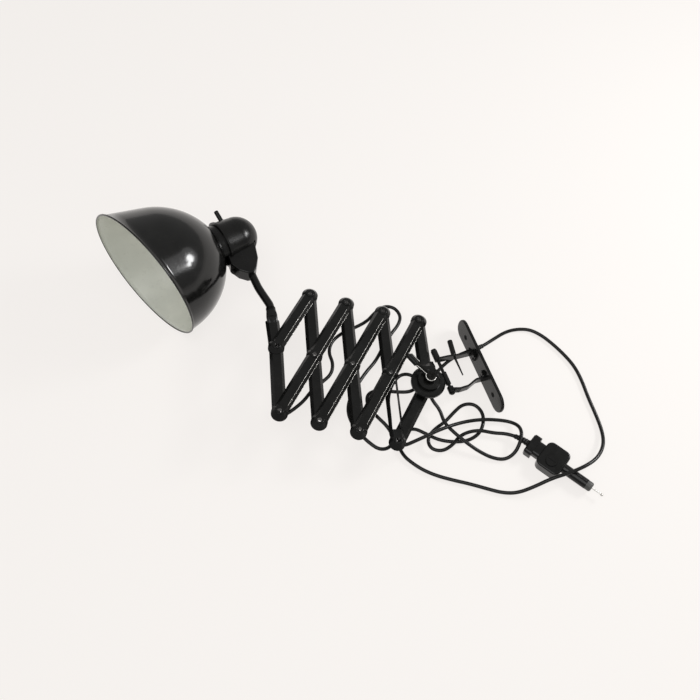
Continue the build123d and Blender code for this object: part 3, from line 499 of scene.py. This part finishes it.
JET = (0.0025, 0.0025, 0.0024)
SOOT = (0.006, 0.006, 0.0057)
RUBBED = ((0.006, 0.006, 0.006), (0.016, 0.015, 0.014))
BROWN = ((0.03, 0.024, 0.02), (0.06, 0.05, 0.042))
GREY = ((0.045, 0.045, 0.044), (0.09, 0.09, 0.087))
FINISH = {
    "enamel": coated("black_enamel", (JET, SOOT), (0.16, 0.34), 0.10, 0.08),
    "edge": coated("rubbed_enamel_edge", RUBBED, (0.12, 0.30), 0.08, 0.0, 0.08),
    "shade": coated("shade_enamel", (JET, SOOT), (0.10, 0.20), 0.16, 0.05, None, 0.2),
    "moulded": coated("black_moulding", (JET, SOOT), (0.16, 0.32), 0.08, 0.06),
    "holder": coated("lampholder_moulding", BROWN, (0.30, 0.50), 0.08, 0.10),
    "rubber": coated("flex_rubber", (JET, SOOT), (0.24, 0.38), 0.30, 0.10),
    "grey": coated("grey_moulding", GREY, (0.35, 0.55), 0.20, 0.10),
    "steel": metal("worn_steel", (0.50, 0.49, 0.47), (0.86, 0.85, 0.82), 0.2, 0.42),
    # dull steel for the painted highlights along the bars' edges
    "dull": metal("dull_edge_highlight", (0.24, 0.235, 0.22), (0.46, 0.45, 0.43), 0.36, 0.52),
    "dark": metal("blackened_steel", (0.010, 0.010, 0.010), (0.035, 0.034, 0.032), 0.2, 0.42),
    "brass": metal("screw_cap_brass", (0.42, 0.32, 0.14), (0.66, 0.54, 0.3), 0.25, 0.45),
}
print(len(FINISH), "finishes")

# %% [markdown]
# ## The white inside, and the glass
#
# The inside of the shade is off-white enamel. A slow gradient across the shade paints it greyer and greener
# towards one side, as painted shade where the inside faces away from the light, and two noises break it up.
# Glass is mostly its own outline, so a faint film on the bulb keeps it from vanishing.

# %% Inner enamel and bulb glass
PALE, IVORY = (0.68, 0.695, 0.63), (0.86, 0.87, 0.79)
# the first colour of this line is painted shade on the inside's far side; the second is random grime
SHADED_SIDE_TONE, GRIMY = (0.40, 0.425, 0.36), (0.42, 0.44, 0.38)
SHADE_FROM_X, SHADE_TO_X = 0.425, 0.50
CLEAR, FILMED = (0.93, 0.93, 0.91), (0.80, 0.81, 0.79)
inside, tree, skin = start("inner_enamel")
tones = place(tree, patchy, Scale=9.0, Dark=PALE, Light=IVORY, Low=0.25, High=0.42)
where = tree.nodes.new("ShaderNodeTexCoord")
parts = tree.nodes.new("ShaderNodeSeparateXYZ")
tree.links.new(where.outputs["Object"], parts.inputs["Vector"])
# painted shade: greyer, greener enamel towards one side, where the inside faces away from the light
shaded_side = spread(tree, parts.outputs["X"], SHADE_FROM_X, SHADE_TO_X, 0.0, 0.75)
side_shaded_enamel = blend(tree, shaded_side, tones["Colour"], SHADED_SIDE_TONE)
grime = spread(tree, noise_in(tree, 60, 8, 0.7), 0.58, 0.8, 0.0, 0.4)
tree.links.new(blend(tree, grime, side_shaded_enamel, GRIMY), skin["Base Color"])
tree.links.new(tones["Roughness"], skin["Roughness"])
tree.links.new(place(tree, ripple, Scale=300.0, Strength=0.08)["Normal"], skin["Normal"])
FINISH["inside"] = inside

glass, tree, skin = start("bulb_glass")
tones = place(tree, patchy, Scale=70.0, Dark=FILMED, Light=CLEAR, Low=0.03, High=0.12)
tree.links.new(tones["Colour"], skin["Base Color"])
tree.links.new(tones["Roughness"], skin["Roughness"])
skin["Transmission Weight"].default_value = 0.9
skin["IOR"].default_value = 1.45
FINISH["glass"] = glass

# %% [markdown]
# ## Dressing the CAD pieces
#
# Every CAD node gets its finish by name. Its sharp corners are caught by a narrow bevel modifier, because a
# real pressing or moulding never has a perfect edge, and that thin round is where black things shine. On the
# enamelled pieces the bevel's own faces take the rubbed enamel.

# %% Finish of each node
LOOKS = {
    "steel": ["plug_pin", "lampholder_contact"],
    "dark": ["clamp_lever", "friction_washer", "neck_collar", "spring_washer", "hub_bolt", "spindle_clip",
             "friction_screw", "knuckle_pin", "hub_pivot_spacer"],
    "moulded": ["lever_knob", "switch_lever", "switch_bush", "plug_body", "plug_dial", "plug_barrel",
                "knuckle", "lampholder_cap", "shade_carrier", "shade_ring", "drop_pin"],
    "rubber": ["plate_grommet"],
    "grey": ["plug_nose"],
    "brass": ["bulb_cap"],
    "holder": ["lampholder"],
    "glass": ["bulb"],
}
look_of = {node: look for look, names in LOOKS.items() for node in names}
EDGE_WIDTH = 0.0005
EDGE_ANGLE = radians(32)
REPLACED = ("mains_lead", "hub_lead", "arm_lead", "head_lead", "shade")
dressed = {}
for name, node in nodes.items():
    look = look_of.get(name, "dark" if name.endswith("_spacers") else "enamel")
    dressed[look] = dressed.get(look, 0) + 1
    node.data.materials.clear()
    node.data.materials.append(FINISH[look])
    if name in REPLACED or look == "glass":
        continue
    edge = node.modifiers.new("edges", "BEVEL")
    edge.width = EDGE_WIDTH
    edge.segments = 2
    edge.limit_method = "ANGLE"
    edge.angle_limit = EDGE_ANGLE
    edge.harden_normals = True
    if look == "enamel":
        node.data.materials.append(FINISH["edge"])
        edge.material = 1
for piece in flexes:
    piece.data.materials.append(FINISH["rubber"])
print("nodes by finish:", dressed)

# %% [markdown]
# ## Painted highlights along the edges
#
# Two bright lines are painted along each upper bar, one on its crown and one at its foot, on one side only:
# they are painted highlights, where the bar's rounded edges would catch the panes' light. Three more on the
# clamp lever are partly bare metal rubbed by a hand and partly painted highlight. At this size a bright edge
# is one thin line of light, so each is a fine round wire half sunk in its edge, in metal: dull steel on the
# bars, bright worn steel on the lever. It rides the body that its piece belongs to.
#
# Offsets and heights are in millimetres from the bar's middle line and its top.

# %% Where the bars' edges run
BAR = 214.0
HALF_ANGLE = radians(15.6)
FOLD_TURN = radians(-30.3)
HUB_AT = Vector((93.2, 7.3))
UPPER_TOP = 8.1
END_MARGIN = 12.5
ALONG = Vector((cos(FOLD_TURN), sin(FOLD_TURN)))
ACROSS = Vector((-sin(FOLD_TURN), cos(FOLD_TURN)))


def pivot(cell, side=0):
    """A pivot of the scissor: side 1 is left, -1 right and 0 the middle row."""
    step = BAR * sin(HALF_ANGLE) * (cell + (0.5 if side else 0.0))
    return HUB_AT + ALONG * step + ACROSS * side * BAR * cos(HALF_ANGLE) / 2


def wire(name, points, radius, body, look):
    """A fine round wire in a metal finish through a few points."""
    data = bpy.data.curves.new(name, "CURVE")
    data.dimensions = "3D"
    data.bevel_depth = 1.0
    data.bevel_resolution = 2
    data.use_fill_caps = True
    spline = data.splines.new("POLY")
    spline.points.add(len(points) - 1)
    for knot, spot in zip(spline.points, points):
        knot.co = (*spot, 1.0)
        knot.radius = radius
    made = bpy.data.objects.new(name, data)
    scene.collection.objects.link(made)
    made.data.materials.append(FINISH[look])
    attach(made, body)


SPANS = 8
RUNS = {f"upper_bar_{cell}": (pivot(cell, 1), pivot(cell - 1, -1)) for cell in (1, 2, 3)}
RUNS["end_link"] = (pivot(4), pivot(3, -1))
WIRES = {"crown": (-6.0, 0.0, 0.00042), "foot": (-10.35, -4.85, 0.00038)}
for body, (near, far) in RUNS.items():
    way = (far - near).normalized()
    aside = Vector((-way.y, way.x))
    first = near + way * END_MARGIN
    last = far - way * END_MARGIN
    for label, (offset, height, radius) in WIRES.items():
        spots = [leaned(*(first.lerp(last, k / SPANS) + aside * offset), UPPER_TOP + height)
                 for k in range(SPANS + 1)]
        # painted highlight: a dull steel wire stands for the light caught by the bar's rounded edge
        wire(f"{body}_{label}_edge", spots, radius, body, "dull")
print(len(WIRES) * len(RUNS), "bright bar edges")

# %% The lever's bright edges
LEVER_TOP = 22.9
LEVER_TURN = radians(-63.5)
LEVER_REACH = 26.5
EYE_RIM = 7.5
GRIP_TURN = radians(-69.0)
GRIP_LENGTH = 19.0
GUARD_SIDE = -5.6
EYE_ANGLES = range(-48, 151, 9)
STRIP_FROM = 8.0
STRIP_SIDE = 1.9
END_GAP = 1.5
arm_way = Vector((cos(LEVER_TURN), sin(LEVER_TURN)))
arm_side = Vector((-arm_way.y, arm_way.x))
arm_end = HUB_AT + arm_way * LEVER_REACH
grip_way = Vector((cos(GRIP_TURN), sin(GRIP_TURN)))
grip_side = Vector((-grip_way.y, grip_way.x))
crescent = [HUB_AT + EYE_RIM * Vector((cos(radians(a)), sin(radians(a)))) for a in EYE_ANGLES]
strip = [HUB_AT + arm_way * STRIP_FROM + arm_side * STRIP_SIDE,
         arm_end - arm_way * END_GAP + arm_side * STRIP_SIDE]
guard = [arm_end + grip_way * k + grip_side * GUARD_SIDE for k in (END_GAP, GRIP_LENGTH - 0.5)]
# partly bare metal rubbed by a hand, partly painted highlight on the lever's edges
bright = (("eye", crescent, 0.0007), ("strip", strip, 0.0006), ("guard", guard, 0.0007))
for label, run, radius in bright:
    wire(f"lever_{label}_edge", [leaned(*spot, LEVER_TOP) for spot in run], radius, "lever", "steel")
print(len(bright), "bright lever edges")

# %% [markdown]
# ## The shade
#
# The shade is a spun shell: a flat ring round the lampholder, one big arc, then a straight flare. Its rim is
# cut at a slant, which is why it looks fuller on one side. Turning the profile in 192 steps and stopping each
# step where it meets the slanted plane gives the true rim, and a small rolled bead closes it.

# %% The shade's profile
SHADE_START = 35.7
SEAT = 3.3
ARC_R = 115.0
ARC_X = 106.9
ARC_DROP = 14.9
FLARE = radians(11.5)
RIM_TILT = radians(12.4)
RIM_ROLL = radians(-24.0)
RIM_X = 123.5
RIM_OFF = -4.3
HOLE = 20.1
WALL = 1.0
BEAD = 1.4
RIM_NORMAL = Vector((cos(RIM_TILT), sin(RIM_TILT) * cos(RIM_ROLL), sin(RIM_TILT) * sin(RIM_ROLL)))
RIM_AT = Vector((RIM_X, RIM_OFF * cos(RIM_ROLL), RIM_OFF * sin(RIM_ROLL)))
STEPS = 192
ARC_STEPS = 24
LIP_STEPS = 9
LIP_TURN = 150
LIP_LIFT = 0.1
SEAT_RING = 6
FLARE_SHARES = (0.25, 0.5, 0.75, 0.92, 1.0)


def profile(angle, inset):
    """Points (x, r) of the shade's wall at one angle, from the hole to the rim plane."""
    radius = ARC_R - inset
    start_x = SEAT + inset
    knee = ARC_X - radius * sin(FLARE)
    knee_r = -ARC_DROP + radius * cos(FLARE)
    shoulder = -ARC_DROP + sqrt(radius ** 2 - (ARC_X - start_x) ** 2)
    points = [(start_x, HOLE), (start_x, HOLE + SEAT_RING), (start_x, shoulder)]
    first = asin((ARC_X - start_x) / radius)
    for step in range(1, ARC_STEPS + 1):
        a = first + (FLARE - first) * step / ARC_STEPS
        points.append((ARC_X - radius * sin(a), -ARC_DROP + radius * cos(a)))
    slope = tan(FLARE)
    across = RIM_NORMAL.y * cos(angle) + RIM_NORMAL.z * sin(angle)
    fixed = RIM_NORMAL.dot(RIM_AT) - across * (knee_r - knee * slope)
    end = fixed / (RIM_NORMAL.x + across * slope)
    for share in FLARE_SHARES:
        x = knee + (end - knee) * share
        points.append((x, knee_r + (x - knee) * slope))
    return points


def section(angle):
    """The closed section of the shell at one angle: outside, rolled lip, inside."""
    outer, inner = profile(angle, 0.0), profile(angle, WALL)
    x, r = outer[-1]
    lip = []
    for step in range(LIP_STEPS):
        a = radians(LIP_TURN - 2 * LIP_TURN * step / (LIP_STEPS - 1))
        lip.append((x - BEAD + BEAD * cos(a), r + LIP_LIFT + BEAD * sin(a)))
    return outer[:-1] + lip + inner[:-1][::-1]


# %% [markdown]
# The lip runs from the black outside round to the white inside, and the enamel changes on it: the outer two
# thirds are black, the rest white, as on a dipped shade. That leaves the thin dark line and the pale edge.

# %% The shade's shell
def spun_shade():
    """The shade as one closed mesh, black outside and white inside."""
    rings = [[headed(SHADE_START + x, r * cos(2 * pi * step / STEPS), r * sin(2 * pi * step / STEPS))
              for x, r in section(2 * pi * step / STEPS)] for step in range(STEPS)]
    count = len(rings[0])
    faces = []
    for a in range(STEPS):
        b = (a + 1) % STEPS
        for k in range(count):
            n = (k + 1) % count
            faces.append((a * count + k, a * count + n, b * count + n, b * count + k))
    mesh = bpy.data.meshes.new("shade_shell")
    mesh.from_pydata([spot for ring in rings for spot in ring], [], faces)
    mesh.materials.append(FINISH["shade"])
    mesh.materials.append(FINISH["inside"])
    white_from = len(profile(0, 0)) - 1 + LIP_STEPS * 2 // 3
    for index, face in enumerate(mesh.polygons):
        face.use_smooth = True
        face.material_index = 1 if white_from <= index % count < count - 1 else 0
    turned = bmesh.new()
    turned.from_mesh(mesh)
    bmesh.ops.recalc_face_normals(turned, faces=turned.faces)
    turned.to_mesh(mesh)
    turned.free()
    made = bpy.data.objects.new("shade_shell", mesh)
    scene.collection.objects.link(made)
    print("shade:", len(mesh.polygons), "faces")
    return made


shade = spun_shade()
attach(shade, "head")
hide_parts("shade")

# %% [markdown]
# ## Floor
#
# The floor is a pale sheet that runs out of sight. What the camera sees of it is mostly its own colour, with
# the real shading laid thinly over it, so that the object keeps a faint shadow and the sheet stays even.

# %% A pale sheet
FLOOR = 12.0  # half the sheet's side
OWN_SHARE = 0.82
OWN_COLOUR = (0.947, 0.913, 0.888, 1)
DIM, BRIGHT = (0.90, 0.875, 0.835), (0.915, 0.89, 0.85)
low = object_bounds()[0].z
floor_mesh = bpy.data.meshes.new("floor")
corners = [(-FLOOR, -FLOOR, low), (FLOOR, -FLOOR, low), (FLOOR, FLOOR, low), (-FLOOR, FLOOR, low)]
floor_mesh.from_pydata(corners, [], [(0, 1, 2, 3)])
floor = bpy.data.objects.new("floor", floor_mesh)
scene.collection.objects.link(floor)
paper, tree, skin = start("pale_floor")
tones = place(tree, patchy, Scale=3.0, Dark=DIM, Light=BRIGHT, Low=0.85, High=0.95)
tree.links.new(tones["Colour"], skin["Base Color"])
tree.links.new(tones["Roughness"], skin["Roughness"])
skin["Specular IOR Level"].default_value = 0.0
seen = tree.nodes.new("ShaderNodeLightPath")
even = tree.nodes.new("ShaderNodeEmission")
even.inputs["Color"].default_value = OWN_COLOUR
rays = seen.outputs["Is Camera Ray"]
for label in ("Is Glossy Ray", "Is Transmission Ray"):
    either = tree.nodes.new("ShaderNodeMath")
    either.operation = "MAXIMUM"
    tree.links.new(rays, either.inputs[0])
    tree.links.new(seen.outputs[label], either.inputs[1])
    rays = either.outputs["Value"]
part = spread(tree, rays, 0, 1, 0.0, OWN_SHARE)
both = tree.nodes.new("ShaderNodeMixShader")
tree.links.new(part, both.inputs["Fac"])
tree.links.new(tree.nodes["Principled BSDF"].outputs["BSDF"], both.inputs[1])
tree.links.new(even.outputs["Emission"], both.inputs[2])
tree.links.new(both.outputs["Shader"], tree.nodes["Material Output"].inputs["Surface"])
floor_mesh.materials.append(paper)
print("floor at", round(low, 5))

# %% [markdown]
# ## Light
#
# Two bright panes stand low on one side, like a window, with a wide dim panel behind them for the pale wall.
# They make the white patch on the shade and the soft light round it. A wide soft lamp overhead and a pale
# world lift the rest.

# %% Panes, wall, overhead lamp and world
WORLD_COLOUR = (1.0, 0.99, 0.97, 1)
WORLD_STRENGTH = 0.42
world = bpy.data.worlds.new("studio")
world.use_nodes = True
background = world.node_tree.nodes["Background"].inputs
background["Color"].default_value = WORLD_COLOUR
background["Strength"].default_value = WORLD_STRENGTH
scene.world = world


def softbox(name, spot, target, size, power, shape):
    """A soft lamp that faces its target."""
    data = bpy.data.lights.new(name, "AREA")
    data.shape = shape
    data.size, data.size_y = size
    data.energy = power
    made = bpy.data.objects.new(name, data)
    scene.collection.objects.link(made)
    spot, target = Vector(spot), Vector(target)
    facing = (target - spot).to_track_quat("-Z", "Y").to_matrix().to_4x4()
    made.matrix_world = Matrix.Translation(spot) @ facing
    print(name, power, "W")


MIDDLE = (0.33, -0.18, 0.1)
UNDER_LAMP = (0.2, -0.1, 0.0)
LAMPS = [  # name, where it stands, what it faces, its size in metres, its power in watts, its shape
    ("upper_pane", (-1.056, -0.018, 0.754), MIDDLE, (0.34, 0.34), 9, "ELLIPSE"),
    ("lower_pane", (-0.93, 0.20, 0.70), MIDDLE, (0.17, 0.17), 2.2, "ELLIPSE"),
    ("pale_wall", (-1.35, 0.05, 0.95), MIDDLE, (1.2, 1.0), 3.5, "ELLIPSE"),
    ("overhead", (0.6, 0.5, 2.1), UNDER_LAMP, (1.6, 1.6), 17, "RECTANGLE"),
]
for lamp in LAMPS:
    softbox(*lamp)
scene.view_settings.view_transform = "Standard"

# %% [markdown]
# ## The end
#
# At the end the view layer is brought up to date.

# %% Update the view layer
bpy.context.view_layer.update()
